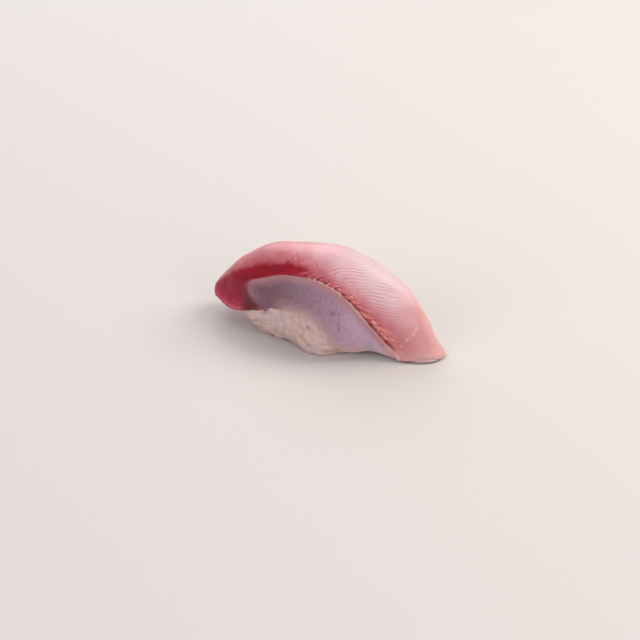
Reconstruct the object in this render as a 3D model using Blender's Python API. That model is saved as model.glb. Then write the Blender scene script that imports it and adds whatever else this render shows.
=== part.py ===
"""Yellowtail nigiri: one slice of raw yellowtail laid over a hand-pressed ball of rice.

Two pieces touch and nothing moves:

  rice_ball          a smooth pressed core with cooked short-grain rice fused all over what shows
  yellowtail_slice   the fish: a wedge-cut slab, thick along the near side and thin along the far side,
                     bent over the ball, with its left end overhanging and its right end on the ground

+X runs along the slice towards the end that lies on the ground, -Y is the near side, where the slice
shows its skin face, and +Z is up. The origin is the centre of the footprint of the whole piece, on
the ground. Sizes are in millimetres, and MM turns them into Blender's metres.
"""

import math
import random

import bmesh
import bpy
import numpy as np
from mathutils import Matrix, Vector
from mathutils.bvhtree import BVHTree

MM = 0.001
GAP = 0.3  # between two pieces that touch

# The slice is lofted through eight stations along its crest. Each profile below holds one value
# for each station, and a smooth curve runs through them.
CREST_X = (-33.7, -29.0, -20.0, -8.0, 4.0, 14.0, 24.0, 34.0)
CREST_Y = (0.4, 0.2, 0.0, 0.0, 0.0, 0.0, -0.6, -1.4)
CREST_Z = (9.3, 14.9, 22.3, 26.1, 27.1, 23.8, 16.7, 1.3)
NEAR_EDGE_Y = (-3.0, -5.2, -8.0, -9.8, -10.2, -9.9, -8.0, -6.4)
NEAR_EDGE_Z = (8.8, 11.8, 15.9, 21.0, 20.8, 17.3, 9.9, 1.5)
NEAR_FOOT_FLARE = (0.1, 0.4, 1.5, 3.0, 3.9, 2.8, 0.1, 0.0)  # how far the skin face leans out
NEAR_FOOT_Z = (4.7, 3.6, 6.7, 11.4, 10.6, 3.2, 2.2, 0.4)
FAR_EDGE_Y = (4.4, 7.2, 10.6, 13.4, 14.2, 13.6, 11.2, 7.0)
FAR_EDGE_Z = (8.0, 9.8, 12.4, 14.0, 13.8, 12.0, 7.2, 1.3)
FAR_LIP = (3.0, 3.4, 3.8, 4.0, 4.0, 4.0, 3.4, 0.9)  # height of the thin far side
FAR_LEAN = 0.5  # by which the far side's foot is tucked in
FACE_BULGE = 0.06  # of the skin face's height, by which the face swells outwards
THICKNESS = (5.0, 7.6, 8.4, 8.6, 8.6, 8.6, 8.6, 1.0)  # at the crest, straight down
NEAR_END_X = (-33.2, 24.2)  # where the near edge starts and ends
FAR_END_X = (-32.5, 28.6)
CREST_SHARE = 0.42  # of the way across the top face at which the crest lies
EDGE_RADIUS = 0.6
LARGEST_ROUNDING = 0.4  # of a side's length that its corner may take up
NOSE_RADIUS, NOSE_TAPER = 3.4, 48.0  # of the rounded left end, and how far its sides already lean in
TAIL_RADIUS, TAIL_TAPER = 0.9, 15.0  # the same at the thin right end
RING_PITCH, TORN_RING_PITCH = 1.6, 0.75  # from ring to ring, closer along the torn stretch
END_RINGS = 4
SMALLEST_END_RING = 0.08  # of the ring that an end starts from
FACE_STEPS = 4
CROWN_STEPS = 11
UNDER_STEPS = 7
CORNER_STEPS = 2

# Torn flakes along the near edge, where the flesh has parted from the skin side
TORN_FROM, TORN_TO = -5.0, 27.0  # along the crest
TORN_FADE = 4.0  # over which the flakes set in and die away
TORN_DEPTH = 0.7
TORN_PITCH = 2.4  # from one flake to the next, give or take
TORN_WANDER, TORN_WANDER_RATE = 0.6, 0.8  # how far the notches stray from an even pitch, and how often
TORN_UNEVEN, TORN_UNEVEN_RATE = 0.25, 0.53  # the same for their depth
TORN_DIRECTION = (0.0, 0.5, -0.85)  # from the edge into the flesh

# Rice ball
BALL_LEFT, BALL_RIGHT = 23.3, 22.5  # from the origin to each end of the core
BALL_NEAR, BALL_FAR = 10.8, 11.8  # half widths of the core
BALL_YAW = 0.04  # the ball lies a little askew under the slice
BALL_TOP = 18.6
BALL_WAIST = 9.2  # height at which the core is widest
BALL_UNDERSIDE = 0.5  # the core stays this far above the ground, and the grains reach down to it
BALL_END_POWER = 2.2
BALL_SECTION_POWER = 2.7
BALL_RINGS = 18
BALL_SIDES = 26
BALL_END_STEP = 0.35  # of a ring's step, from the ball's tip to its first ring
LUMPS = (  # x, y, z of a soft lump, how far it swells, and its reach
    (2.5, -11.0, 1.5, 3.4, 5.5),
    (-18.0, -6.5, 1.5, 1.1, 7.0),
    (10.0, 11.0, 3.0, 1.6, 6.0),
    (-9.0, 10.0, 5.0, 1.2, 6.0),
)

# Cooked short-grain rice
GRAIN_LENGTH, GRAIN_WIDTH, GRAIN_THICKNESS = 6.0, 2.9, 2.5
GRAIN_SIDES = 6
GRAIN_BELTS = ((-0.37, 0.74), (0.0, 1.0), (0.37, 0.74))  # shares of its length and of its width
GRAIN_SPACING = 2.9
GRAIN_STANDS = (0.35, 0.2, 0.05, -0.1)  # of the thickness, from the core's face up to the grain's middle
UNDERSIDE_STAND = -0.1  # the same under the ball, where its own weight presses the grains in
FIRST_GRAIN = (0.3, 0.2)  # x, y of the grain at the middle of the footprint
GRAIN_TILT = 14.0  # degrees
GRAIN_SIZES = (0.88, 1.08)
GRAIN_TRIES = 7000  # darts thrown
GRAIN_TURNS = 4  # ways that a grain is turned before it is left out
GROUND_BLOCK = (200.0, 100.0, 10.0)  # trims the grains flat where they rest
FACES_DOWN = -0.9  # z of a normal that counts as the underside
SHARP_ANGLE = 40.0  # degrees, above which an edge is shaded sharp

MATERIALS = {  # linear colour, roughness
    "raw_fish": ((0.62, 0.24, 0.26, 1.0), 0.32),
    "cooked_rice": ((0.72, 0.66, 0.60, 1.0), 0.45),
}


def profile(values):
    """A smooth curve through one value for each station, as a function of the crest's x."""
    x, y = np.array(CREST_X), np.array(values)
    slope = np.gradient(y, x)

    def at(position):
        i = int(np.clip(np.searchsorted(x, position) - 1, 0, len(x) - 2))
        span = x[i + 1] - x[i]
        t = (position - x[i]) / span
        start = (1 + 2 * t) * (1 - t) ** 2 * y[i] + t * (1 - t) ** 2 * span * slope[i]
        end = t**2 * (3 - 2 * t) * y[i + 1] + t**2 * (t - 1) * span * slope[i + 1]
        return start + end

    return at


def rail_x(position, ends):
    """The crest's x carried over to a side rail, which starts and ends elsewhere."""
    return position * (ends[0] / CREST_X[0] if position < 0 else ends[1] / CREST_X[-1])


crest_y, crest_z = profile(CREST_Y), profile(CREST_Z)
near_y, near_z = profile(NEAR_EDGE_Y), profile(NEAR_EDGE_Z)
foot_flare, foot_z = profile(NEAR_FOOT_FLARE), profile(NEAR_FOOT_Z)
far_y, far_z, far_lip = profile(FAR_EDGE_Y), profile(FAR_EDGE_Z), profile(FAR_LIP)
thickness = profile(THICKNESS)


def rails(position):
    """The six points that set the slice's outline at one station, as numpy arrays."""
    near_x, far_x = rail_x(position, NEAR_END_X), rail_x(position, FAR_END_X)
    crest = np.array((position, crest_y(position), crest_z(position)))
    near = np.array((near_x, near_y(position), near_z(position)))
    foot = near + (0, -foot_flare(position), foot_z(position) - near_z(position))
    far = np.array((far_x, far_y(position), far_z(position)))
    far_foot = far + (0, -FAR_LEAN, -far_lip(position))
    under = crest - (0, 0, thickness(position))
    return near, crest, far, far_foot, under, foot


def through(start, middle, end, share):
    """A parabola from start to end that passes middle at this share of the way."""
    pull = (middle - (1 - share) ** 2 * start - share**2 * end) / (2 * share * (1 - share))
    return lambda t: (1 - t) ** 2 * start + 2 * t * (1 - t) * pull + t**2 * end


def side(curve, steps, radius):
    """Points along one side of a ring, which stop short of its two corners."""
    length = np.linalg.norm(curve(1.0) - curve(0.0))
    margin = min(LARGEST_ROUNDING, radius / max(length, 1e-6))
    return [curve(t) for t in np.linspace(margin, 1 - margin, steps + 1)]


def corner(before, tip, after, steps):
    """The points of a rounded corner between the end of one side and the start of the next."""
    shares = [(k + 1) / (steps + 1) for k in range(steps)]
    return [(1 - t) ** 2 * before + 2 * t * (1 - t) * tip + t**2 * after for t in shares]


def torn(position):
    """How deep the near edge is torn at one station: rounded flakes of uneven size with notches between."""
    inside = min(position - TORN_FROM, TORN_TO - position)
    fade = min(1.0, max(0.0, inside / TORN_FADE))
    turn = math.pi * position / TORN_PITCH + TORN_WANDER * math.sin(TORN_WANDER_RATE * position)
    uneven = 1 - TORN_UNEVEN + TORN_UNEVEN * math.sin(TORN_UNEVEN_RATE * position)
    return TORN_DEPTH * fade * uneven * (1 - abs(math.sin(turn)))


def ring_positions():
    """Where along the crest the rings lie."""
    stretches = (
        (CREST_X[0], TORN_FROM, RING_PITCH),
        (TORN_FROM, TORN_TO, TORN_RING_PITCH),
        (TORN_TO, CREST_X[-1], RING_PITCH),
    )
    positions = []
    for start, end, pitch in stretches:
        positions += list(np.linspace(start, end, round((end - start) / pitch), endpoint=False))
    return positions + [CREST_X[-1]]


def slice_ring(position):
    """One closed cross-section of the slice: skin face, top face, thin far side and underside."""
    near, crest, far, far_foot, under, foot = rails(position)
    bulge = (near + foot) / 2 + (0, -FACE_BULGE * (near[2] - foot[2]), 0)
    runs = [
        (through(foot, bulge, near, 0.5), FACE_STEPS, near),
        (through(near, crest, far, CREST_SHARE), CROWN_STEPS, far),
        (through(far, (far + far_foot) / 2, far_foot, 0.5), 1, far_foot),
        (through(far_foot, under, foot, 0.5), UNDER_STEPS, foot),
    ]
    sides = [side(curve, steps, EDGE_RADIUS) for curve, steps, _ in runs]
    ring = []
    for k, points in enumerate(sides):
        following = sides[(k + 1) % len(sides)][0]
        ring += points + corner(points[-1], runs[k][2], following, CORNER_STEPS)
    for k in range(FACE_STEPS, FACE_STEPS + CORNER_STEPS + 2):
        ring[k] = ring[k] + torn(position) * np.array(TORN_DIRECTION)
    return ring


def rounded_end(ring, direction, radius, taper):
    """Rings that shrink past an end along an arc that starts at the taper, in degrees."""
    centre = sum(ring) / len(ring)
    start = math.radians(taper)
    rings = []
    for k in range(1, END_RINGS + 1):
        angle = start + k / (END_RINGS + 0.5) * (math.pi / 2 - start)
        shift = direction * radius * (math.sin(angle) - math.sin(start))
        inset = radius * (math.cos(start) - math.cos(angle))
        shrunk = []
        for point in ring:
            away = point - centre
            reach = np.linalg.norm(away)
            share = max(SMALLEST_END_RING, 1 - inset / max(reach, inset))
            shrunk.append(centre + away * share + shift)
        rings.append(shrunk)
    return rings


def lofted(name, rings):
    """A closed mesh object through rings of equal length, with both ends filled."""
    mesh = bmesh.new()
    loops = [[mesh.verts.new(Vector(p) * MM) for p in ring] for ring in rings]
    for first, second in zip(loops, loops[1:]):
        for k in range(len(first)):
            n = (k + 1) % len(first)
            mesh.faces.new((first[k], first[n], second[n], second[k]))
    mesh.faces.new(loops[0])
    mesh.faces.new(reversed(loops[-1]))
    bmesh.ops.recalc_face_normals(mesh, faces=mesh.faces)
    bmesh.ops.triangulate(mesh, faces=[f for f in mesh.faces if len(f.verts) > 4])
    return object_of(name, mesh)


def object_of(name, mesh):
    """An object in the scene that holds a bmesh."""
    data = bpy.data.meshes.new(name)
    mesh.to_mesh(data)
    mesh.free()
    made = bpy.data.objects.new(name, data)
    bpy.context.scene.collection.objects.link(made)
    return made


def material(name):
    """A Principled material from the table at the top."""
    colour, roughness = MATERIALS[name]
    made = bpy.data.materials.new(name)
    made.use_nodes = True
    shader = made.node_tree.nodes["Principled BSDF"]
    shader.inputs["Base Color"].default_value = colour
    shader.inputs["Roughness"].default_value = roughness
    made.diffuse_color = colour
    return made


def power(value, exponent):
    """A signed power, which makes a superellipse out of a sine and a cosine."""
    return math.copysign(abs(value) ** exponent, value)


def ball_point(along, around, grow):
    """A point on the rice core: along runs from -1 to 1 between its ends, around is an angle."""
    x = along * (BALL_LEFT if along < 0 else BALL_RIGHT)
    fullness = max(0.0, 1 - abs(along) ** BALL_END_POWER) ** (1 / BALL_END_POWER)
    across = power(math.cos(around), 2 / BALL_SECTION_POWER) * fullness
    up = power(math.sin(around), 2 / BALL_SECTION_POWER) * fullness
    y = across * (BALL_NEAR if across < 0 else BALL_FAR) + BALL_YAW * x
    z = BALL_WAIST + up * (BALL_TOP - BALL_WAIST if up > 0 else BALL_WAIST)
    point = np.array((x, y, z))
    outward = np.array((x / BALL_RIGHT**2, y / BALL_FAR**2, (z - BALL_WAIST) / BALL_WAIST**2))
    outward = outward / max(np.linalg.norm(outward), 1e-9)
    swell = grow
    for *middle, height, reach in LUMPS:
        distance = np.linalg.norm(point - middle)
        swell += height * math.exp(-((distance / reach) ** 2))
    return point + outward * swell


def rice_core(name, grow=0.0):
    """The pressed ball without its grains, grown outwards by so many millimetres."""
    rings = []
    for k in range(BALL_RINGS + 1):
        along = -math.cos(math.pi * (k + BALL_END_STEP) / (BALL_RINGS + 2 * BALL_END_STEP))
        angles = [2 * math.pi * n / BALL_SIDES for n in range(BALL_SIDES)]
        rings.append([ball_point(along, angle, grow) for angle in angles])
    return lofted(name, rings)


def cut_away(target, cutter, operation="DIFFERENCE"):
    """Applies one Boolean to the target and removes the cutter."""
    modifier = target.modifiers.new("cut", "BOOLEAN")
    modifier.operation = operation
    modifier.object = cutter
    apply_modifiers(target)
    bpy.data.objects.remove(cutter)


def apply_modifiers(target):
    """Puts the evaluated mesh in place of the object's own."""
    graph = bpy.context.evaluated_depsgraph_get()
    baked = bpy.data.meshes.new_from_object(target.evaluated_get(graph))
    target.modifiers.clear()
    target.data = baked


def block_below(level):
    """A block whose top face is at this height, wide enough to trim the whole piece."""
    mesh = bmesh.new()
    bmesh.ops.create_cube(mesh, size=1.0)
    bmesh.ops.scale(mesh, vec=Vector(GROUND_BLOCK) * MM, verts=mesh.verts)
    shift = Vector((0, 0, level - GROUND_BLOCK[2] / 2)) * MM
    bmesh.ops.translate(mesh, vec=shift, verts=mesh.verts)
    return object_of("ground_block", mesh)


def make_slice():
    """The fish: the lofted slab less the rice that it lies on."""
    rings = [slice_ring(position) for position in ring_positions()]
    nose = rounded_end(rings[0], np.array((-1.0, 0.0, -0.35)), NOSE_RADIUS, NOSE_TAPER)
    tail = rounded_end(rings[-1], np.array((1.0, 0.1, 0.0)), TAIL_RADIUS, TAIL_TAPER)
    slab = lofted("yellowtail_slice", nose[::-1] + rings + tail)
    cut_away(slab, rice_core("rice_form", GAP))
    return slab


def grain_mesh():
    """One cooked grain along +Z: a plump spindle, blunter than an ellipsoid, with few sides."""
    mesh = bmesh.new()
    belts = []
    for height, width in GRAIN_BELTS:
        turns = [2 * math.pi * k / GRAIN_SIDES for k in range(GRAIN_SIDES)]
        half = width / 2
        belts.append([mesh.verts.new((math.cos(a) * half, math.sin(a) * half, height)) for a in turns])
    bottom, top = mesh.verts.new((0, 0, -0.5)), mesh.verts.new((0, 0, 0.5))
    for k in range(GRAIN_SIDES):
        n = (k + 1) % GRAIN_SIDES
        mesh.faces.new((bottom, belts[0][n], belts[0][k]))
        mesh.faces.new((top, belts[-1][k], belts[-1][n]))
        for low, high in zip(belts, belts[1:]):
            mesh.faces.new((low[k], low[n], high[n], high[k]))
    size = Vector((GRAIN_WIDTH, GRAIN_THICKNESS, GRAIN_LENGTH)) * MM
    bmesh.ops.scale(mesh, vec=size, verts=mesh.verts)
    data = bpy.data.meshes.new("grain")
    mesh.to_mesh(data)
    mesh.free()
    return data


def spots_on(core, draw):
    """Points spread evenly by dart throwing over the core's surface, each with its normal."""
    core.data.calc_loop_triangles()
    corners = [[core.data.vertices[v].co.copy() for v in t.vertices] for t in core.data.loop_triangles]
    areas = [(b - a).cross(c - a).length / 2 for a, b, c in corners]
    chosen = [(Vector((*FIRST_GRAIN, BALL_UNDERSIDE)) * MM, Vector((0, 0, -1)))]
    for a, b, c in draw.choices(corners, areas, k=GRAIN_TRIES):
        u, v = sorted((draw.random(), draw.random()))
        spot = a * u + b * (v - u) + c * (1 - v)
        if all((spot - other).length > GRAIN_SPACING * MM for other, _ in chosen):
            chosen.append((spot, (b - a).cross(c - a).normalized()))
    return chosen


def lay_grain(data, spot, normal, stand, draw):
    """One grain lying on the core at this spot, turned and tilted a little at random."""
    lying = normal.orthogonal()
    lying.rotate(Matrix.Rotation(draw.uniform(0, math.pi), 3, normal))
    lying = (lying + normal * math.tan(math.radians(draw.uniform(-GRAIN_TILT, GRAIN_TILT)))).normalized()
    across = normal.cross(lying).normalized()
    turn = Matrix((across, lying.cross(across), lying)).transposed().to_4x4()
    size = draw.uniform(*GRAIN_SIZES)
    place = spot + normal * stand * GRAIN_THICKNESS * MM
    grain = bpy.data.objects.new("grain", data)
    grain.matrix_world = Matrix.Translation(place) @ turn @ Matrix.Scale(size, 4)
    return grain


def tree_of(placed, matrix=None):
    """A search tree of an object's triangles, in world space."""
    matrix = matrix or placed.matrix_world
    points = [matrix @ v.co for v in placed.data.vertices]
    placed.data.calc_loop_triangles()
    return BVHTree.FromPolygons(points, [t.vertices[:] for t in placed.data.loop_triangles])


def clear_of(grain, tree):
    """Whether the grain keeps the gap to the slice all round."""
    wider = grain.matrix_world @ Matrix.Scale(1 + 2 * GAP / GRAIN_THICKNESS, 4)
    return not tree_of(grain, wider).overlap(tree)


def make_rice(slab):
    """The rice ball: the core with every grain that shows fused on, trimmed flat where it rests."""
    draw = random.Random(11)
    ball = rice_core("rice_ball")
    cut_away(ball, block_below(BALL_UNDERSIDE))
    grains = bpy.data.collections.new("grains")
    bpy.context.scene.collection.children.link(grains)
    tree = tree_of(slab)
    data = grain_mesh()
    for spot, normal in spots_on(ball, draw):
        if tree.ray_cast(spot, normal)[0] is not None:
            continue  # the slice covers it
        stands = (UNDERSIDE_STAND,) if normal.z < FACES_DOWN else GRAIN_STANDS
        for stand in stands * GRAIN_TURNS:
            grain = lay_grain(data, spot, normal, stand, draw)
            if clear_of(grain, tree):
                grains.objects.link(grain)
                break
            bpy.data.objects.remove(grain)
    join = ball.modifiers.new("fuse_grains", "BOOLEAN")
    join.operation = "UNION"
    join.operand_type = "COLLECTION"
    join.collection = grains
    join.solver = "MANIFOLD"
    bpy.context.view_layer.update()
    apply_modifiers(ball)
    for grain in list(grains.objects):
        bpy.data.objects.remove(grain)
    bpy.data.collections.remove(grains)
    cut_away(ball, block_below(0.0))
    return ball


def centre_on_footprint(pieces):
    """Moves the pieces so that their common box stands centred on the origin."""
    points = [vertex.co for piece in pieces for vertex in piece.data.vertices]
    low = Vector([min(point[k] for point in points) for k in range(3)])
    high = Vector([max(point[k] for point in points) for k in range(3)])
    middle = (low + high) / 2
    for piece in pieces:
        piece.data.transform(Matrix.Translation((-middle.x, -middle.y, -low.z)))


def build():
    """Clears the scene and makes the two pieces."""
    for old in list(bpy.data.objects):
        bpy.data.objects.remove(old)
    slab = make_slice()
    ball = make_rice(slab)
    centre_on_footprint((slab, ball))
    for made, finish in ((slab, "raw_fish"), (ball, "cooked_rice")):
        made.data.materials.clear()
        made.data.materials.append(material(finish))
        made.data.shade_smooth()
        made.data.set_sharp_from_angle(angle=math.radians(SHARP_ANGLE))


build()
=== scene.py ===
# %% [markdown]
# # Yellowtail nigiri
# A nigiri is two things laid together: a hand-pressed ball of short-grain rice, and a slice of raw fish
# that bends over it. This lesson dresses both. The construction is already made, at its real size, and
# comes in as a fixed frame. Each new piece is modelled in that frame, rides on its body and takes the
# place of its plain solid.

# %% Load the frame
import math

import bmesh
import bpy
import numpy as np
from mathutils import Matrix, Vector
from mathutils.bvhtree import BVHTree


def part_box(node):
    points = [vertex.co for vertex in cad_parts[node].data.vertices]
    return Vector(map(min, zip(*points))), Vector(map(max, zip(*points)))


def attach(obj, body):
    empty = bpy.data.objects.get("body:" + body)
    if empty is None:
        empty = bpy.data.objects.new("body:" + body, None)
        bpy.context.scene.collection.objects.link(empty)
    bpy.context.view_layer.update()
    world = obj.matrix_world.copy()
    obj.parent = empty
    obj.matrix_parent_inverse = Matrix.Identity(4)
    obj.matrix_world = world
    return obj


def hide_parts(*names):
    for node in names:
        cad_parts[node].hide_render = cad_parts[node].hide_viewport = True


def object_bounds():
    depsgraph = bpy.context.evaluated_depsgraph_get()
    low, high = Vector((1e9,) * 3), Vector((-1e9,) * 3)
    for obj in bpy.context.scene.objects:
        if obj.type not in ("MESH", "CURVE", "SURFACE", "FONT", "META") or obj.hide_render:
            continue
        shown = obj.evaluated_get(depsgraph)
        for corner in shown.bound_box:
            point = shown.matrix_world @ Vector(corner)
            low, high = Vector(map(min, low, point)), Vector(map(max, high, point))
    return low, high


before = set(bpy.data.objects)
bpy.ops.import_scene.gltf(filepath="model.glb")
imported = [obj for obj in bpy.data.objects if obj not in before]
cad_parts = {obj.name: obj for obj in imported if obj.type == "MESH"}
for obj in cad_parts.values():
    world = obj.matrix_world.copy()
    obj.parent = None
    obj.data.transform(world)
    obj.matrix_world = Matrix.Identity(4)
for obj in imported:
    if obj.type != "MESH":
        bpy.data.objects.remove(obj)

MM = 0.001  # sizes below are in millimetres, and Blender's are in metres
cad_box = [list(corner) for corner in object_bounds()]


def add_object(name, data):
    """A new object in the scene that shows this mesh, camera or light."""
    made = bpy.data.objects.new(name, data)
    bpy.context.scene.collection.objects.link(made)
    return made


print("nodes:", sorted(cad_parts), "box in mm:", np.round(np.array(cad_box) / MM, 1).tolist())

# %% [markdown]
# ## The camera
# The photograph looks down on the piece by thirty degrees, from its front right, through a long lens
# that keeps the sides nearly parallel. The camera could be dragged into place by eye. Here it is worked
# out: the direction, the distance and the pixel at which the middle of the footprint shows are named,
# and the aim follows from them.

# %% Place the camera
PHOTO_SIDE = 640  # pixels of the square picture
PHOTO_AZIMUTH, PHOTO_ELEVATION = 25.0, 30.0  # degrees
PHOTO_DISTANCE = 493.8
PHOTO_LENS, SENSOR = 100.0, 36.0
CLOSEST, FARTHEST = 0.01, 20.0  # metres in front of the camera that it sees
PHOTO_SPOT = (327.7, 332.2)  # pixel of the middle of the footprint

azimuth, elevation = math.radians(PHOTO_AZIMUTH), math.radians(PHOTO_ELEVATION)
to_camera = Vector((
    math.sin(azimuth) * math.cos(elevation),
    -math.cos(azimuth) * math.cos(elevation),
    math.sin(elevation),
))
to_right = Vector((math.cos(azimuth), math.sin(azimuth), 0))
to_top = to_camera.cross(to_right)
pixels_per_mm = PHOTO_LENS / SENSOR * PHOTO_SIDE / PHOTO_DISTANCE
aim = to_right * (PHOTO_SIDE / 2 - PHOTO_SPOT[0]) + to_top * (PHOTO_SPOT[1] - PHOTO_SIDE / 2)
aim = aim / pixels_per_mm

camera = add_object("camera", bpy.data.cameras.new("camera"))
camera.data.lens, camera.data.sensor_width = PHOTO_LENS, SENSOR
camera.data.clip_start, camera.data.clip_end = CLOSEST, FARTHEST
camera.location = (aim + to_camera * PHOTO_DISTANCE) * MM
camera.rotation_euler = to_camera.to_track_quat("Z", "Y").to_euler()
bpy.context.scene.camera = camera
print("pixels per mm:", round(pixels_per_mm, 2))

# %% [markdown]
# ## Colours and nodes
# Colours are read off the real thing as sRGB, which is how a screen shows them, but a shader works with
# linear light. One function turns the one into the other. Node trees are built with one small function
# that adds a node, sets it and links it, and the same rule fills the sockets of the main shader.

# %% Helpers for materials


def linear(code):
    """An sRGB colour such as #c08040 as linear red, green, blue and alpha."""
    parts = [int(code[k:k + 2], 16) / 255 for k in (1, 3, 5)]
    return tuple(p / 12.92 if p <= 0.04045 else ((p + 0.055) / 1.055) ** 2.4 for p in parts) + (1.0,)


def new_material(name):
    """An empty node material, its tree and its Principled shader, joined to the output."""
    made = bpy.data.materials.new(name)
    made.use_nodes = True
    return made, made.node_tree, made.node_tree.nodes["Principled BSDF"]


def fill(tree, node, inputs):
    """Gives each input, by name or number, its value, or links it from a socket."""
    for key, value in inputs.items():
        if isinstance(value, bpy.types.NodeSocket):
            tree.links.new(value, node.inputs[key])
        else:
            node.inputs[key].default_value = value


def add(tree, kind, inputs=None, **settings):
    """Adds a node with these settings and inputs."""
    node = tree.nodes.new(kind)
    for name, value in settings.items():
        setattr(node, name, value)
    fill(tree, node, inputs or {})
    return node


print("a mid grey in linear light:", round(linear("#808080")[0], 3))

# %% [markdown]
# ## The slice's form
# The fish was cut at a slant with one pull of a long knife, so it is a wedge: thick along the near
# side, where its skin face shows, and thin along the far side. It could be sculpted. A loft is better
# here, because the same eight stations also give every point two addresses, along the slice and across
# it, and all the colours and fine relief hang on those. The stations are the construction's own.

# %% The stations
CREST_X = (-33.7, -29.0, -20.0, -8.0, 4.0, 14.0, 24.0, 34.0)
CREST_Y = (0.4, 0.2, 0.0, 0.0, 0.0, 0.0, -0.6, -1.4)
CREST_Z = (9.3, 14.9, 22.3, 26.1, 27.1, 23.8, 16.7, 1.3)
NEAR_EDGE_Y = (-3.0, -5.2, -8.0, -9.8, -10.2, -9.9, -8.0, -6.4)
NEAR_EDGE_Z = (8.8, 11.8, 15.9, 21.0, 20.8, 17.3, 9.9, 1.5)
NEAR_FOOT_FLARE = (0.1, 0.4, 1.5, 3.0, 3.9, 2.8, 0.1, 0.0)  # how far the skin face leans out
NEAR_FOOT_Z = (4.7, 3.6, 6.7, 11.4, 10.6, 3.2, 2.2, 0.4)
FAR_EDGE_Y = (4.4, 7.2, 10.6, 13.4, 14.2, 13.6, 11.2, 7.0)
FAR_EDGE_Z = (8.0, 9.8, 12.4, 14.0, 13.8, 12.0, 7.2, 1.3)
FAR_LIP = (3.0, 3.4, 3.8, 4.0, 4.0, 4.0, 3.4, 0.9)  # height of the thin far side
FAR_LEAN = 0.5
FACE_BULGE = 0.06  # of the skin face's height
THICKNESS = (5.0, 7.6, 8.4, 8.6, 8.6, 8.6, 8.6, 1.0)  # straight down from the crest
NEAR_END_X = (-33.2, 24.2)
FAR_END_X = (-32.5, 28.6)
CREST_SHARE = 0.42  # of the way over the top, where the crest lies
EDGE_RADIUS, NOSE_EDGE_RADIUS = 0.55, 1.7
LARGEST_ROUNDING = 0.4  # of a side's length
NOSE_RADIUS, NOSE_TAPER = 3.1, 48.0  # mm, and the degrees at which the rounding starts
TAIL_CUT, TAIL_REACH = 0.52, 0.6  # mm of the crest left out at its end, and of the taper put there instead
TAIL_LIP_Z = 0.55

# %% Curves through the stations


def curve(pairs, place):
    """A smooth curve through pairs of numbers, level beyond its two ends, at an array of places."""
    x, y = np.array(list(pairs), float).T
    slope = np.gradient(y, x)
    place = np.clip(place, x[0], x[-1])
    i = np.clip(np.searchsorted(x, place) - 1, 0, len(x) - 2)
    span = x[i + 1] - x[i]
    t = (place - x[i]) / span
    start = (1 + 2 * t) * (1 - t) ** 2 * y[i] + t * (1 - t) ** 2 * span * slope[i]
    return start + t**2 * (3 - 2 * t) * y[i + 1] + t**2 * (t - 1) * span * slope[i + 1]


def rail_x(position, ends):
    """The crest's x carried over to a side rail, which starts and ends elsewhere."""
    return position * np.where(position < 0, ends[0] / CREST_X[0], ends[1] / CREST_X[-1])


def rails(position):
    """The six points that set the outline at each station, each as an array of points."""

    def at(values):
        return curve(zip(CREST_X, values), position)

    near_x, far_x = rail_x(position, NEAR_END_X), rail_x(position, FAR_END_X)
    crest = np.stack([position, at(CREST_Y), at(CREST_Z)], 1)
    near = np.stack([near_x, at(NEAR_EDGE_Y), at(NEAR_EDGE_Z)], 1)
    foot = np.stack([near_x, near[:, 1] - at(NEAR_FOOT_FLARE), at(NEAR_FOOT_Z)], 1)
    far = np.stack([far_x, at(FAR_EDGE_Y), at(FAR_EDGE_Z)], 1)
    far_foot = far - (0, FAR_LEAN, 0) - at(FAR_LIP)[:, None] * (0, 0, 1)
    under = crest - at(THICKNESS)[:, None] * (0, 0, 1)
    return near, crest, far, far_foot, under, foot


middle_near, middle_crest = (rail[0] for rail in rails(np.array([0.0]))[:2])
print("mm up from the near edge to the crest:", round(float(middle_crest[2] - middle_near[2]), 1))

# %% [markdown]
# ## Soft randomness
# Flesh is uneven at every size, yet never angular. Blender's noise would do, one point at a time.
# Some thirty plane waves in random directions, added up, give the same kind of swell for a whole
# array in one go, and a seed keeps it the same on every run.

# %% Swells and soft steps


def lengths(vectors):
    """The length of each vector in an array."""
    return np.linalg.norm(vectors, axis=-1)


def unit(vectors):
    """An array of vectors, each made one long."""
    return vectors / np.maximum(lengths(vectors)[..., None], 1e-9)


def swell(points, size, seed, waves=28):
    """Smooth noise of about -1 to 1 whose bumps are this many mm across, for an array of points."""
    draw = np.random.default_rng(seed)
    directions = unit(draw.normal(size=(waves, points.shape[-1])))
    rates = math.pi / size * draw.uniform(0.6, 1.3, waves)
    phases = draw.uniform(0, 2 * math.pi, waves)
    total = np.zeros(points.shape[:-1])
    for direction, rate, phase in zip(directions, rates, phases):
        total += np.cos(points @ direction * rate + phase)
    return total / math.sqrt(waves) * 1.1


def ease(value, low, high):
    """0 below low, 1 above high, and a smooth step between them."""
    t = np.clip((value - low) / (high - low), 0, 1)
    return t * t * (3 - 2 * t)


def fall(value, low, high):
    """1 below low, 0 above high, and a smooth step between them."""
    return 1 - ease(value, low, high)


def between(value, low, high, soft):
    """1 between low and high, fading out over soft on either side."""
    return ease(value, low - soft, low) * fall(value, high, high + soft)


def crowded(count, start, end, busy, gain):
    """Values from start to end that lie gain times closer together inside the busy range."""
    dense = np.linspace(start, end, 4000)
    run = np.cumsum(1 + (gain - 1) * between(dense, *busy, soft=(end - start) * 0.05))
    return np.interp(np.linspace(run[0], run[-1], count), run, dense)


print("steps crowd together:", np.round(crowded(9, 0, 1, (0.0, 0.2), 3), 2).tolist())

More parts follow.
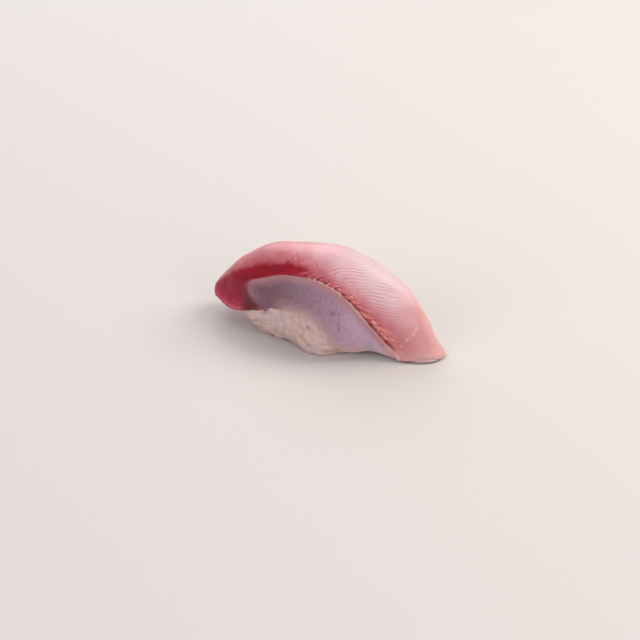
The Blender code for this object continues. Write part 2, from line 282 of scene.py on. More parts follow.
# %% [markdown]
# ## Rings round the slice
# Each ring is a closed cross-section made of four sides with rounded corners between them. All the
# rings are made at once as arrays, which is much faster than a loop in Python, and leaves room for
# steps fine enough to carry muscle lines as real relief. The steps crowd together at the near edge
# and along the stretch where it is torn, because that is where the eye goes. The thick end is then
# rounded off, and the thin one tapers to a lip.

# %% Make the rings
FACE_STEPS, CROWN_STEPS, LIP_STEPS, UNDER_STEPS, CORNER_STEPS = 44, 124, 8, 20, 4
RING_COUNT = 390
TORN_STRETCH = (-5.0, 31.0)
face_shares = crowded(FACE_STEPS + 1, 0, 1, (0.85, 1.0), 2.0)
crown_shares = crowded(CROWN_STEPS + 1, 0, 1, (0.0, 0.11), 2.4)
lip_shares = np.linspace(0, 1, LIP_STEPS + 1)
under_shares = np.linspace(0, 1, UNDER_STEPS + 1)


def parabola(start, middle, end, share):
    """A curve from start to end that passes middle at this share of the way, for every ring."""
    pull = (middle - (1 - share) ** 2 * start - share**2 * end) / (2 * share * (1 - share))

    def at(t):
        t = t[..., None]
        return (1 - t) ** 2 * start[:, None] + 2 * t * (1 - t) * pull[:, None] + t**2 * end[:, None]

    return at, lengths(end - start)


def closed_rings(position):
    """An array of rings by points by three: skin face, top face, thin far side, underside."""
    near, crest, far, far_foot, under, foot = rails(position)
    bulge = (near + foot) / 2
    bulge[:, 1] -= FACE_BULGE * (near[:, 2] - foot[:, 2])
    runs = (
        (parabola(foot, bulge, near, 0.5), face_shares, near),
        (parabola(near, crest, far, CREST_SHARE), crown_shares, far),
        (parabola(far, (far + far_foot) / 2, far_foot, 0.5), lip_shares, far_foot),
        (parabola(far_foot, under, foot, 0.5), under_shares, foot),
    )
    radius = NOSE_EDGE_RADIUS + (EDGE_RADIUS - NOSE_EDGE_RADIUS) * ease(position, -33.0, -22.0)
    sides = []
    for (side_at, length), shares, _ in runs:
        margin = np.minimum(LARGEST_ROUNDING, radius / np.maximum(length, 1e-6))[:, None]
        sides.append(side_at(margin + (1 - 2 * margin) * shares[None]))
    ring = []
    for k, points in enumerate(sides):
        after, corner = sides[(k + 1) % len(sides)][:, :1], runs[k][2][:, None]
        t = ((np.arange(CORNER_STEPS) + 1) / (CORNER_STEPS + 1))[None, :, None]
        ring += [points, (1 - t) ** 2 * points[:, -1:] + 2 * t * (1 - t) * corner + t**2 * after]
    return np.concatenate(ring, axis=1)


stations = crowded(RING_COUNT, CREST_X[0], CREST_X[-1] - TAIL_CUT, TORN_STRETCH, 1.5)
body_rings = closed_rings(stations)
print("rings:", len(body_rings), "points round each:", body_rings.shape[1])

# %% Close the two ends
NOSE_RINGS, TAIL_RINGS = 14, 6
NOSE_WAY = (-1.0, 0.0, -0.35)  # the way in which the thick end's rings move on
TAIL_FAN = 7.0  # mm behind its middle from which the thin end's rings fan out


def rounded_end(ring, direction, radius, taper, count):
    """Rings that shrink past an end along an arc that starts at the taper, in degrees."""
    centre, start = ring.mean(axis=0), math.radians(taper)
    away = ring - centre
    reach = lengths(away)[:, None]
    rings = []
    for k in range(1, count + 1):
        angle = start + k / (count + 0.5) * (math.pi / 2 - start)
        shift = np.array(direction) * radius * (math.sin(angle) - math.sin(start))
        inset = radius * (math.cos(start) - math.cos(angle))
        rings.append(centre + away * np.maximum(0.08, 1 - inset / np.maximum(reach, inset)) + shift)
    return rings


def thin_end(ring, reach, lip, count):
    """Rings that taper on past the thin end, until the top and the underside nearly meet at the lip."""
    away = ring - ring.mean(axis=0) * (1, 1, 0) + (TAIL_FAN, 0, 0)
    away = unit(away * (1, 1, 0))
    rings = []
    for k in range(1, count + 1):
        share = k / (count + 0.4)
        moved = ring + away * reach * np.clip(1.4 * away[:, :1], 0.2, 1.0) * share**0.8
        moved[:, 2] = lip + (ring[:, 2] - lip) * (1 - share**1.3)
        rings.append(moved)
    return rings


nose = rounded_end(body_rings[0], NOSE_WAY, NOSE_RADIUS, NOSE_TAPER, NOSE_RINGS)
tail = thin_end(body_rings[-1], TAIL_REACH, TAIL_LIP_Z, TAIL_RINGS)
form = np.concatenate([np.array(nose[::-1]), body_rings, np.array(tail)])
position = np.concatenate([[stations[0]] * NOSE_RINGS, stations, [stations[-1]] * TAIL_RINGS])
position = np.repeat(position[:, None], form.shape[1], axis=1)
print("rings with both ends:", len(form))

# %% [markdown]
# ## Two addresses for every point
# Where a stain, a line or a flake lies is easiest to say in the slice's own millimetres: how far along
# it, and how far across from the near edge. Across is counted round each ring, upwards over the top as
# positive and down the skin face as negative.

# %% Measure along and across
near_corner = FACE_STEPS + 1 + CORNER_STEPS // 2
far_corner = near_corner + CROWN_STEPS + 1 + CORNER_STEPS
steps_round = lengths(np.roll(form, -1, axis=1) - form)
round_ring = np.concatenate([np.zeros((len(form), 1)), np.cumsum(steps_round, axis=1)], axis=1)
across = round_ring[:, :-1] - round_ring[:, near_corner:near_corner + 1]
face_length = -across[:, :1]
crown_length = across[:, far_corner:far_corner + 1]
under_half = form.shape[1] - CORNER_STEPS - UNDER_STEPS // 2
across[:, under_half:] -= round_ring[:, -1:]  # the underside next to the foot counts on down the face
beneath = -across - face_length  # mm past the foot, under the slice
from_far_edge = crown_length - across

crest_steps = lengths(np.diff(form[:, near_corner + CROWN_STEPS // 2], axis=0))
along = np.concatenate([[0.0], np.cumsum(crest_steps)])
along -= np.interp(0.0, stations, along[NOSE_RINGS:-TAIL_RINGS])  # counted from the station at 0
along = np.repeat(along[:, None], form.shape[1], axis=1)
flat = np.stack([along, across], axis=-1)
for way, run in (("along", np.ptp(along)), ("across the top", crown_length), ("down the face", face_length)):
    print("mm", way, round(float(np.max(run)), 1))

# %% [markdown]
# ## Skin, bloodline and flesh
# Under a yellowtail's skin runs the bloodline, a wedge of dark red muscle. The knife went through all
# of it: the near face is mostly silvery skin, the tip and a band along the edge are bloodline, and the
# rest is pale pink flesh. Each is a mask from 0 to 1 over the points. A painted image could hold them,
# but masks made from curves stay sharp at any size and can be changed by a number. The numbers in a
# mask are places in the slice's own millimetres, where it fades in or out, or its strength from 0 to 1.

# %% Masks for skin and bloodline
BLOOD_REACH = (  # station along the crest, and mm up over the top that the bloodline reaches there
    (-33.7, 0.2), (-32.0, 1.3), (-28.6, 1.8), (-25.4, 2.8), (-22.7, 3.8), (-20.0, 4.2),
    (-16.3, 3.8), (-11.9, 3.7), (-5.9, 3.3), (-2.7, 2.7), (3.0, 1.4), (8.0, 0.5),
)
SKIN_START = (  # mm down the face, and the station where the skin begins there
    (-12.0, -11.0), (-9.8, -14.2), (-8.1, -16.8), (-6.4, -18.7), (-4.4, -20.3), (-2.5, -21.5),
    (-0.9, -21.2), (0.0, -19.0),
)
FASCIA_AT = (  # station, and mm across, of the pale line of fascia that tops the skin
    (-8.0, 0.0), (15.0, 0.0), (18.8, -0.4), (21.8, -0.8), (25.0, -1.0), (28.0, -1.0), (31.0, -0.6),
)
coarse, fine = swell(flat, 4.0, 1), swell(flat, 1.4, 2)

fascia_at = curve(FASCIA_AT, position)
past_skin_start = position - curve(SKIN_START, across) + 0.35 * coarse + 0.15 * fine
on_face = ease(-(across - fascia_at), 0.0, 0.25) * fall(beneath, -0.2, 0.5)
skin = ease(past_skin_start, -0.9, 2.5) * on_face
above_blood = across - curve(BLOOD_REACH, position) + 0.25 * coarse + 0.2 * fine
blood = fall(above_blood, -0.9, 1.1) * ease(across, -0.3, 0.0) * fall(position, -4.0, 6.0)
tip = fall(past_skin_start, 1.0, 2.6) * fall(across, 0.0, 0.3) * fall(beneath, 1.0, 3.5)
# dark maroon where the bloodline meets the skin, deepening down the face towards the foot: partly the
# muscle's own colour, partly painted shade
maroon_shade = ease(past_skin_start + 2.0 * ease(-across, 5.0, 9.0), -5.5, -0.5)
maroon_shade = maroon_shade * fall(past_skin_start, 0.6, 3.0) * on_face * (0.27 + 0.63 * ease(-across, 0.5, 6.0))
clots = 0.5 * between(across, -0.8, 2.4, 1.4) * fall(position, -8.0, 0.0) * (1 - skin)
clots = clots * ease(position, -34.5, -28.0)
clots = clots * np.clip(0.25 + 0.9 * swell(flat * (0.55, 1.0), 1.5, 32), 0, 1)
clots = np.maximum(clots, 0.4 * tip * np.clip(1.1 * swell(flat, 1.1, 33), 0, 1) * (1 - maroon_shade))
tip_rim = 0.85 * fall(face_length + across + 0.4 * fine, 0.5, 3.8)
tip_rim = tip_rim * fall(position, -25.5, -20.5) * (across < 0)
under_nose = fall(position, -33.6, -31.0) * fall(form[..., 2], 5.5, 7.5)
near_side = fall(form[..., 1] + 0.5 * coarse, -1.5, 2.5)
tip = tip + (near_side - tip) * under_nose
tip_rim = tip_rim + (0.8 * near_side - tip_rim) * under_nose
for what, mask in (("skin", skin), ("bloodline", blood)):
    print("share of the points on", what, round(float(mask.mean()), 2))

# %% [markdown]
# ## Muscle lines
# A fillet's muscle is packed in thin sheets, and the knife cut through them at a slant, so their edges
# run over the right half of the slice as fine wavy lines about a millimetre apart. A wave texture
# would draw them flat. Here one field counts the sheets, and both the relief and the colour read it,
# so that each line is a real groove with a darker bottom.

# %% Count the sheets of muscle
SHEET_PITCH = 1.12  # mm from line to line, straight across the slice
LINE_SLANT = 0.66  # mm across for each mm along
LINE_SAG, LINE_SAG_FROM = 0.027, 12.0  # the lines turn more crosswise towards the far edge
LINE_TURN, LINE_TURN_FROM = 0.014, 10.0  # and towards the right end
FLECK_WIDTH = 0.42  # mm along, for each mm across
sheets = across - LINE_SLANT * position - LINE_SAG * np.maximum(0, across - LINE_SAG_FROM) ** 2
sheets = sheets - LINE_TURN * np.maximum(0, position - LINE_TURN_FROM) ** 2
sheets = (sheets + 0.3 * swell(flat, 6.0, 3) + 0.1 * swell(flat, 1.6, 4)) / SHEET_PITCH
patchy = 0.55 + 0.5 * swell(flat * (0.6, 1.0), 2.6, 5)
lined = ease(position, 1.5, 8.0) * fall(position, 22.0, 30.0) * ease(across, 2.2, 4.5)
lined = lined * (1 - 0.65 * ease(across, 7.0, 13.5))
lined = np.clip(lined * patchy * ease(from_far_edge, 0.0, 2.0), 0, 1)
groove = np.clip(np.cos(2 * math.pi * sheets), 0, 1) ** 2
ridge = np.clip(-np.cos(2 * math.pi * sheets + 0.4), 0, 1) ** 3

fleck_points = flat * (1 / FLECK_WIDTH, 1.0) + 0.5 * coarse[..., None]
flecked = between(position, -8.0, 1.0, 3.0) * between(across, 2.6, 12.0, 2.0)
flecks = 0.32 * flecked * ease(swell(fleck_points, 1.0, 6), 0.0, 1.4)
print("sheets over the slice:", round(float(np.ptp(sheets)), 0))

# %% [markdown]
# ## The torn edge
# From near the middle to the right the skin was pulled off the flesh and tore it: a row of small wet
# beads like a frayed rope, with dark slits under them whose red-brown is deepened by painted shade, and
# below those a pale line of fascia. Bump mapping would vanish at the outline, so the beads are real
# relief, each with a size, place and height of its own.

# %% Sizes of the torn edge
TORN_PITCH = 2.4  # mm from notch to notch, on average
TORN_WANDER, TORN_WANDER_RATE = 0.6, 0.8  # how unevenly they are spaced
TORN_DEPTH, TORN_FROM, TORN_TO, TORN_FADE = 0.55, -5.0, 27.0, 4.0
TORN_UNEVEN, TORN_UNEVEN_RATE = 0.25, 0.53  # how unevenly deep they are
TORN_DIRECTION = np.array([0.0, 0.5, -0.85])  # the way in which a notch presses the edge in
BEAD_SLANT = 1.2  # mm along for each mm across, so that the beads lie like strands
BEAD_KINDS = 64  # beads with a place and size of their own before these come round again
BEAD_ROWS = (  # mm across, half width, height, pitch shift, and how much of the row is there
    (0.9, 0.56, 0.42, 0.0, 1.0), (1.65, 0.42, 0.26, 0.45, 0.7), (2.2, 0.3, 0.1, 0.2, 0.3),
)


def strand_phase(place):
    """Counts the notches of the torn edge along the slice: a whole number at each notch."""
    return place / TORN_PITCH + TORN_WANDER / math.pi * np.sin(TORN_WANDER_RATE * place)


def bead_row(centre, width, shift, seed):
    """A row of slanted beads as heights from 0 to 1, each with a place and size of its own."""
    phase = strand_phase(position - BEAD_SLANT * (across - centre)) + shift
    number = np.floor(phase).astype(int)
    own = np.random.default_rng(seed).uniform(-1, 1, (BEAD_KINDS, 4))[number % BEAD_KINDS]
    length = 2 * (phase - number) - 1 + 0.25 * own[..., 3] + 0.15 * fine
    centres = centre + 0.25 * own[..., 0] + 0.2 * length + 0.12 * fine
    widths = width * (1 + 0.3 * own[..., 1]) * (1 - 0.3 * ease(position, 8.0, 16.0))
    inside = 1 - (length * (1.15 + 0.2 * own[..., 3])) ** 2 - ((across - centres) / widths) ** 2
    return np.sqrt(np.clip(inside, 0, 1)) * (0.7 + 0.3 * own[..., 2])


print("notches along the torn edge:", int(np.diff(strand_phase(np.array([TORN_FROM, TORN_TO])))[0]))

# %% Lay the beads and open the slits
torn = ease(position, TORN_FROM + 0.5, TORN_FROM + TORN_FADE + 1.5) * fall(position, 28.0, 33.0)
beads, bead_height = np.zeros(across.shape), np.zeros(across.shape)
for row, (centre, width, height, shift, share) in enumerate(BEAD_ROWS):
    present = torn * np.clip(share + (1 - share) * 2 * coarse, 0, 1)
    one_row = bead_row(centre + 0.3 * np.clip(fascia_at, -1, 0), width, shift, 20 + row) * present
    beads, bead_height = np.maximum(beads, one_row), np.maximum(bead_height, one_row * height)
slit_points = np.stack([along, along * 0], axis=-1)
slit = torn * between(across, fascia_at + 0.25, fascia_at + 0.8, 0.22) * (1 - beads)
slit = slit * np.clip(0.75 + 0.6 * swell(slit_points, 2.0, 7), 0, 1)
crack = torn * between(across, 1.4, 1.8, 0.3) * (1 - beads) * ease(fine, -0.2, 0.5)
seam = between(across, fascia_at - 0.1, fascia_at + 0.9, 0.6) * between(position, 13.0, 30.5, 4.0)
seam = seam * np.clip(0.75 + 0.5 * swell(slit_points, 3.0, 30), 0, 1) * (1 - 0.8 * beads)
seam = seam * (0.62 + 0.33 * ease(position, 22.0, 28.0))
# slits and cracks painted darker: their red-brown deepened as painted shade
slit_red_and_shade = np.maximum(slit * (0.75 + 0.2 * ease(position, 3.0, 9.0)), 0.45 * crack)
fascia = np.exp(-(((across - fascia_at) / 0.17) ** 2)) * between(position, 1.0, 30.0, 5.0)
notch = 1 - np.abs(np.sin(math.pi * strand_phase(position)))
fade = np.clip(np.minimum((position - TORN_FROM) / TORN_FADE, (TORN_TO - position) / TORN_FADE), 0, 1)
notch = notch * fade * (1 + TORN_UNEVEN * np.sin(TORN_UNEVEN_RATE * position)) * TORN_DEPTH
notch = notch * np.exp(-(((across - 0.7) / 0.6) ** 2))
print("beads in the first row:", int(np.ptp(np.floor(strand_phase(position[torn > 0.5])))))

# %% [markdown]
# ## The tone of the flesh
# Flesh is rosier near the bloodline and towards both ends, and pales where it is thin or fat; part of
# the paleness on the crest and along the outline is painted highlight and sheen. The skin goes from a
# brownish mauve at the left to a pale lilac at the right, partly a painted reflection, and is rosier
# along its rims.

# %% Masks for the tone of the flesh
GLINT_SLANT, GLINT_WIDTH = 0.3, 0.21
GLINTS = (  # station, mm across and half length of the painted highlights, bright streaks by the tail
    (31.0, 2.4, 0.2), (30.0, 4.9, 0.3), (29.6, 6.2, 0.6),
    (29.3, 7.6, 0.6), (28.8, 8.9, 0.3), (29.7, 7.1, 0.2),
)
SHOULDER_AT = (  # station, and mm across, past which a painted sheen pales the slice by its right end
    (22.0, 16.5), (25.0, 14.6), (28.4, 13.0), (31.0, 12.0), (33.5, 10.8),
)


def streak(x, y, half):
    """A thin painted highlight about a station and a distance across, this many mm long to each side."""
    offset = position - x + GLINT_SLANT * (across - y)
    return np.exp(-((offset / GLINT_WIDTH) ** 2)) * between(across, y - half, y + half, 0.5)


rosy = 0.84 * fall(position + 1.5 * coarse, -12.5, 7.0)
rosy = np.maximum(rosy, 0.3 * fall(position + 1.5 * coarse, 6.0, 16.0))
flush_from = above_blood + 0.5 * ease(position, 3.0, 8.0)
flush = fall(flush_from, 0.0, 7.5 + 1.2 * ease(position, 8.0, 16.0)) ** 1.3
flush = flush * (1 - 0.4 * ease(position, 22.0, 31.0))
flush = flush * ease(across, -0.6, 0.0) * (0.9 + 0.1 * ease(position, -2.0, 6.0))
salmon = ease(position - 0.25 * across + 1.5 * coarse, 16.0, 29.0)
# paler flesh on the crest right of the middle: partly its own tone, partly painted highlight where the main
# light falls
pale = between(position + 0.5 * coarse, 10.0, 17.0, 9.0) * ease(across, 3.0, 14.0)
long_steps = lengths(np.diff(form, axis=0))
to_tail_end = np.concatenate([np.cumsum(long_steps[::-1], axis=0)[::-1], np.zeros((1, form.shape[1]))])
# pale thin tail end and far edge: painted glow of the thin flesh and a painted highlight on the outline
tail_rim = 0.6 * fall(to_tail_end + 0.2 * fine, 0.1, 1.3) * ease(across, 0.2, 2.0)
tail_rim = np.maximum(tail_rim, 0.42 * fall(to_tail_end + 0.5 * coarse, 0.5, 6.0))
far_reach = 2.4 + 9.0 * ease(position, 14.0, 28.0)
far_rim = fall((np.maximum(from_far_edge, 0.0) + 0.5 * coarse) / far_reach, 0.1, 1.0)
far_rim = far_rim * fall(-from_far_edge, 4.0, 7.0) * ease(position, -30.0, -8.0)
far_rim = far_rim * (0.5 + 0.8 * ease(position, 10.0, 24.0)) * (across > 0)
# painted sheen: a pale strip along the right end's outline, where the light grazes it
past_shoulder = across - curve(SHOULDER_AT, position) + 0.3 * coarse
past_shoulder = past_shoulder + 1.8 * ease(position, 25.0, 30.0)
painted_shoulder_sheen = 0.5 * ease(past_shoulder, -1.0, 1.5) * ease(position, 18.0, 26.0)
foot_rim = ease(position, -18.0, -8.0) + 0.16 * between(position, -29.0, -24.0, 3.0)
foot_rim = between(beneath, -0.6, 1.4, 0.8) * foot_rim
# all pale rims together: painted glow of thin edges and painted sheen along the outline
pale_edges_and_sheen = np.clip(np.maximum.reduce([tail_rim, far_rim, painted_shoulder_sheen, foot_rim]) * (1 - skin), 0, 1)
# painted highlights: wet shine drawn as pale streaks by the tail
painted_glints = np.maximum.reduce([streak(*glint) for glint in GLINTS])
painted_glints = 0.65 * painted_glints * np.clip(0.6 + 0.8 * swell(flat, 0.8, 31), 0, 1)
print("share of the points on pale rims", round(float(pale_edges_and_sheen.mean()), 2))

# %% Masks for the tone of the skin and the beads
SPECKS = (  # station, mm across and size of the small dark specks on the skin
    (9.9, -5.9, 0.6), (10.8, -5.3, 0.4), (12.3, -4.9, 0.4), (12.7, -7.2, 0.45), (12.9, -8.5, 0.5),
)
# lighter lilac towards the right end of the skin: partly its own tone, partly a painted reflection of the
# bright surroundings
skin_lilac_and_reflection = ease(position + 1.5 * coarse, -17.0, 36.0)
rim_reach = 3.2 + 0.8 * fall(position, -14.0, -6.0)
skin_rim = 0.9 * fall(fascia_at - across + 0.3 * coarse, 0.4, rim_reach)
skin_rim = np.maximum(skin_rim, 0.6 * fall(past_skin_start, 1.0, 5.5) * fall(-across, 3.0, 9.0))
skin_end = ease(position + coarse, 25.5, 32.0) * (0.5 + 0.5 * fall(fascia_at - across, 0.5, 3.0))
# browner near the skin's foot: partly the thin skin's own tone, partly painted shade
skin_foot = fall(face_length + across + 0.5 * coarse, -0.8, 4.2) * between(position, -4.0, 20.0, 9.0)
specks = sum(np.exp(-((position - x) ** 2 + (across - y) ** 2) / size**2) for x, y, size in SPECKS)
warm = np.clip(beads * 1.2, 0, 1) * ease(position, 14.0, 21.0)
bloody = beads * fall(position + coarse, 4.0, 13.0)
# a painted highlight on the top of each bead
painted_bead_highlights = 0.6 * ease(beads + 0.15 * fine, 0.65, 1.0)
masks = dict(
    rosy=rosy, salmon=salmon, pale=pale, flush=flush, lines=0.9 * groove * lined,
    ridges=0.5 * ridge * lined, flecks=flecks, blood=blood, tip=tip, maroon_shade=maroon_shade,
    clots=clots, tip_rim=tip_rim, seam=seam, slit=slit_red_and_shade, beads=beads, warm=warm,
    bloody=bloody, painted_bead_highlights=painted_bead_highlights, fascia=fascia, pale_edges_and_sheen=pale_edges_and_sheen, painted_glints=painted_glints,
    skin=skin, skin_lilac_and_reflection=skin_lilac_and_reflection, skin_rim=skin_rim, skin_foot=skin_foot,
    skin_end=skin_end, specks=0.75 * specks,
)
print(len(masks), "masks of", across.size, "points")

# %% [markdown]
# ## Relief
# All the relief is one height in millimetres along each point's own normal: soft swells of the flesh,
# the grooves, the beads and slits, the raised fascia and the slightly ragged thin edge. The sum sits a
# little low, so that the highest bead stays within the construction's size.

# %% Push the points along their normals
round_way = np.roll(form, -1, axis=1) - np.roll(form, 1, axis=1)
long_way = np.gradient(form, axis=0)
normals = unit(np.cross(long_way, round_way))
outward = np.sign(((form - form.mean(axis=1, keepdims=True)) * normals).sum(axis=(1, 2)))
normals *= outward[:, None, None]

body = between(np.arange(len(form)), NOSE_RINGS, len(form) - TAIL_RINGS - 4, 8)[:, None]
height = -0.14 + 0.14 * swell(form, 8.0, 8) + 0.06 * swell(form, 3.0, 9)
height = height - 0.04 * groove * lined + 0.02 * flecks
height = height + bead_height - 0.4 * slit - 0.15 * crack + 0.1 * fascia * torn
height = height * body * ease(np.abs(beneath), 0.2, 2.4) - 0.02  # the foot's edge is too thin for more
ragged = 0.22 * (swell(form, 2.4, 10) - 1.6) * fall(np.abs(from_far_edge), 0.5, 3.0)
shape = form + normals * height[..., None] + notch[..., None] * TORN_DIRECTION
shape[..., 1] += ragged * ease(np.arange(len(form)), NOSE_RINGS - 8, NOSE_RINGS)[:, None]
print("relief, mm:", np.round([height.min(), height.max()], 2))

# %% Centre the slice where the construction has its own
slice_box = np.array([list(corner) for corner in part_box("yellowtail_slice")]) / MM
set_off = (slice_box.sum(axis=0) - form.min(axis=(0, 1)) - form.max(axis=(0, 1))) / 2
set_off[2] = 0.0  # both stand on the ground
print("moved, mm:", np.round(set_off, 3))

# %% [markdown]
# ## From arrays to a mesh
# The points become one closed mesh of quads, and each mask is stored on it as a named attribute that
# the material can read. The hollow that the rice fills is cut from its underside later, with a
# Boolean, which keeps the attributes of all the points that stay.

# %% Build the slice


def tube_faces(count, sides):
    """The faces over so many rings of so many points: quads between them, and a cap on both ends."""
    low = np.arange(count - 1)[:, None] * sides + np.arange(sides)[None]
    turned = np.arange(count - 1)[:, None] * sides + (np.arange(sides)[None] + 1) % sides
    quads = np.stack([low, turned, turned + sides, low + sides], axis=-1).reshape(-1, 4).tolist()
    return quads + [list(range(sides))[::-1], list(range((count - 1) * sides, count * sides))]


def mesh_from_rings(name, rings, layers=None):
    """One closed mesh over an array of rings in mm, with these named attributes."""
    mesh = bpy.data.meshes.new(name)
    mesh.from_pydata((rings.reshape(-1, 3) * MM).tolist(), [], tube_faces(*rings.shape[:2]))
    for layer, values in (layers or {}).items():
        kind, field = ("FLOAT_VECTOR", "vector") if values.ndim == 3 else ("FLOAT", "value")
        mesh.attributes.new(layer, kind, "POINT").data.foreach_set(field, values.astype(np.float32).ravel())
    make_outward(mesh)
    mesh.shade_smooth()
    return add_object(name, mesh)


def make_outward(mesh):
    """Turns every face of a closed mesh outwards."""
    work = bmesh.new()
    work.from_mesh(mesh)
    bmesh.ops.recalc_face_normals(work, faces=work.faces)
    work.to_mesh(mesh)
    work.free()


def apply_modifiers(target):
    """Replaces an object's mesh with the one that its modifiers make."""
    bpy.context.view_layer.update()
    evaluated = target.evaluated_get(bpy.context.evaluated_depsgraph_get())
    result = bpy.data.meshes.new_from_object(evaluated)
    target.modifiers.clear()
    target.data = result


slice_mm = np.concatenate([flat, np.zeros_like(flat[..., :1])], axis=-1)
fish = mesh_from_rings("yellowtail_slice_dressed", shape + set_off, {**masks, "slice_mm": slice_mm})
print("points:", len(fish.data.vertices), "attributes:", len(fish.data.attributes))

# %% [markdown]
# ## The rice ball
# The ball was pressed by hand from warm rice. Its core follows the construction's own: a superellipse,
# a little fuller at its waist, with soft lumps. The core, grown by the gap, also cuts the slice.

# %% The core of the ball
GAP = 0.3
SHARP_FROM = 50.0  # degrees between two faces of the slice from which their edge is sharp
BALL_LEFT, BALL_RIGHT = 23.3, 22.5
BALL_NEAR, BALL_FAR = 10.8, 11.8
BALL_YAW = 0.04
BALL_TOP, BALL_WAIST = 18.6, 9.2
BALL_END_POWER, BALL_SECTION_POWER = 2.2, 2.7
BALL_RINGS, BALL_SIDES = 60, 72
LUMPS = (  # x, y, z of a soft lump, how far it swells, and its reach
    (2.5, -11.0, 1.5, 3.4, 5.5), (-18.0, -6.5, 1.5, 1.1, 7.0),
    (10.0, 11.0, 3.0, 1.6, 6.0), (-9.0, 10.0, 5.0, 1.2, 6.0),
)


def signed_power(value, exponent):
    """A power that keeps the sign, which makes a superellipse out of a sine and a cosine."""
    return np.sign(value) * np.abs(value) ** exponent


def ball_rings(grow):
    """The pressed ball without its grains, grown outwards by so many mm."""
    part = (np.arange(BALL_RINGS) + 0.35) / (BALL_RINGS - 0.3)
    ends = -np.cos(math.pi * part)[:, None]
    around = np.linspace(0, 2 * math.pi, BALL_SIDES, endpoint=False)[None]
    x = ends * np.where(ends < 0, BALL_LEFT, BALL_RIGHT) + 0 * around
    fullness = (1 - np.abs(ends) ** BALL_END_POWER) ** (1 / BALL_END_POWER)
    y = signed_power(np.cos(around), 2 / BALL_SECTION_POWER) * fullness
    y = y * np.where(y < 0, BALL_NEAR, BALL_FAR) + BALL_YAW * x
    z = signed_power(np.sin(around), 2 / BALL_SECTION_POWER) * fullness
    z = BALL_WAIST + z * np.where(z > 0, BALL_TOP - BALL_WAIST, BALL_WAIST)
    points = np.stack([x, y, z], axis=-1)
    away = unit(np.stack([x / BALL_RIGHT**2, y / BALL_FAR**2, (z - BALL_WAIST) / BALL_WAIST**2], axis=-1))
    growth = np.full(x.shape, grow)
    for *middle, rise, reach in LUMPS:
        growth += rise * np.exp(-((lengths(points - middle) / reach) ** 2))
    return points + away * growth[..., None] + set_off


core = mesh_from_rings("rice_core", ball_rings(0.0))
cutter = mesh_from_rings("rice_form", ball_rings(GAP))
cut = fish.modifiers.new("cut", "BOOLEAN")
cut.operation, cut.solver, cut.object = "DIFFERENCE", "MANIFOLD", cutter
apply_modifiers(fish)
bpy.data.objects.remove(cutter)
fish.data.set_sharp_from_angle(angle=math.radians(SHARP_FROM))
triangles = sum(len(face.vertices) - 2 for face in fish.data.polygons)
print("slice triangles:", triangles, "attributes kept:", len(fish.data.attributes))

# %% [markdown]
# ## Grains of rice
# A cooked sushi grain is a plump spindle, about six by three millimetres, a little bent. Instances of
# one grain would be light, but every copy would show its own seam against the next. Here the grains
# are real meshes, laid over the core in two layers, and a voxel remesh then melts them together where
# they touch, as sticky rice does.

# %% One cooked grain
GRAIN_LENGTH, GRAIN_WIDTH, GRAIN_THICKNESS = 5.8, 3.0, 2.5
GRAIN_SIZES = (0.88, 1.1)
GRAIN_BELTS, GRAIN_SIDES = 11, 12
GRAIN_SHAPES = 6  # different grains, which are then used over and over


def grain_points(seed):
    """A closed grain along X, in mm: a blunt spindle, slightly bent, flattened and uneven."""
    draw = np.random.default_rng(seed)
    ends = -np.cos(np.linspace(0.12, math.pi - 0.12, GRAIN_BELTS))[:, None]
    around = np.linspace(0, 2 * math.pi, GRAIN_SIDES, endpoint=False)[None]
    girth = (1 - np.abs(ends) ** 2.1) ** 0.52
    x = ends * GRAIN_LENGTH / 2 + 0 * around
    y = np.cos(around) * girth * GRAIN_WIDTH / 2 + draw.uniform(0.1, 0.5) * (1 - ends**2)
    z = np.sin(around) * girth * GRAIN_THICKNESS / 2
    points = np.stack([x, y, z], axis=-1)
    return points * (1 + 0.07 * swell(points, 2.2, seed)[..., None])


grain_shapes = [grain_points(100 + k) for k in range(GRAIN_SHAPES)]
print("points in a grain:", grain_shapes[0].shape[0] * grain_shapes[0].shape[1])

# %% Find room for a grain
PRESSED_DEPTH = 0.6  # mm that a grain may press into the slice from below
PRESSED_FLAT = 0.9  # mm of a grain that may be flattened where the ball rests
OPEN_ROOM, LEAST_ROOM = 4.0, 0.9  # mm up to the slice where a spot counts as open, and where no grain fits
FISH_SEARCH = 3.0  # mm round a point in which the slice is looked for
RAY_START = 0.05  # mm off the core, so that a ray doesn't start in it

fish_tree = BVHTree.FromObject(fish, bpy.context.evaluated_depsgraph_get())


def depth_in_fish(points):
    """How many mm the deepest of these points lies inside the slice."""
    deepest, up = 0.0, Vector((0, 0, 1))
    for point in points:
        spot = Vector(point * MM)
        distance = fish_tree.find_nearest(spot, FISH_SEARCH * MM)[3]
        if distance is not None and distance / MM > deepest:
            leaves = fish_tree.ray_cast(spot, up)[1]
            if leaves is not None and leaves.z > 0:  # the first face above is seen from within
                deepest = distance / MM
    return deepest


def past_the_slice(points):
    """Whether any of these points lies on the outer side of the slice, seen from the ball's middle line."""
    for point in points[::3]:
        inward = Vector((0, -point[1], BALL_WAIST - point[2])) * MM
        _, normal, _, _ = fish_tree.ray_cast(Vector(point * MM), inward.normalized(), inward.length)
        if normal is not None and normal.dot(inward) < 0:
            return True
    return False


def room_over(spot, normal):
    """The mm between a spot of the core and the slice over it, up to OPEN_ROOM."""
    start = Vector((spot + normal * RAY_START) * MM)
    distance = fish_tree.ray_cast(start, Vector(normal), OPEN_ROOM * MM)[3]
    return OPEN_ROOM if distance is None else distance / MM


room_on_top = room_over(np.array([0.0, 0.0, BALL_TOP]), np.array([0.0, 0.0, 1.0]))
print("mm between the core's top and the slice:", round(room_on_top, 2))

